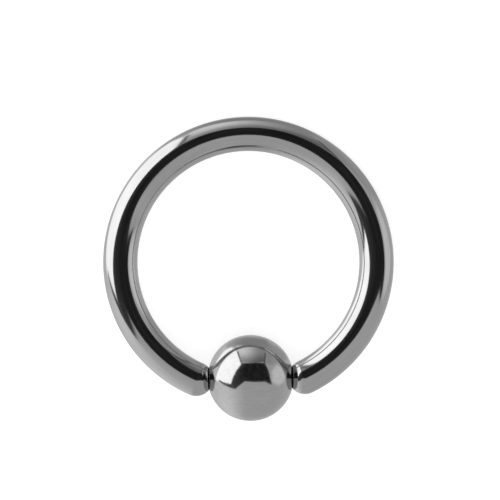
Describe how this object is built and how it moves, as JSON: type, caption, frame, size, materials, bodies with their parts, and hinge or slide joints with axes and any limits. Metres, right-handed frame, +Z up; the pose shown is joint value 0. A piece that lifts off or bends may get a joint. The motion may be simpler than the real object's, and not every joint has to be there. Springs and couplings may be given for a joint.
{
  "type": "captive bead ring",
  "caption": "Round wire hoop of body jewellery, open at one side, with a ball bead held between its rounded ends, lying on its side.",
  "frame": {"origin": "on the surface the ring lies on, under the middle of its box", "axes": "+Z up from that surface, +Y from the bead across the hoop to its far side, X along the bead's own axis"},
  "size_m": [0.0134, 0.014, 0.004],
  "materials": {
    "hoop": "mirror-polished titanium alloy wire with faint lengthwise polishing lines",
    "bead": "mirror-polished titanium alloy ball"
  },
  "bodies": {
    "hoop": {"hoop": "hoop"},
    "bead": {"bead": "bead"}
  },
  "joints": [
    {"name": "bead_spin", "type": "hinge", "parent": "hoop", "child": "bead", "pos_m": [0, -0.00504, 0.002], "axis": [1, 0, 0], "continuous": true}
  ]
}
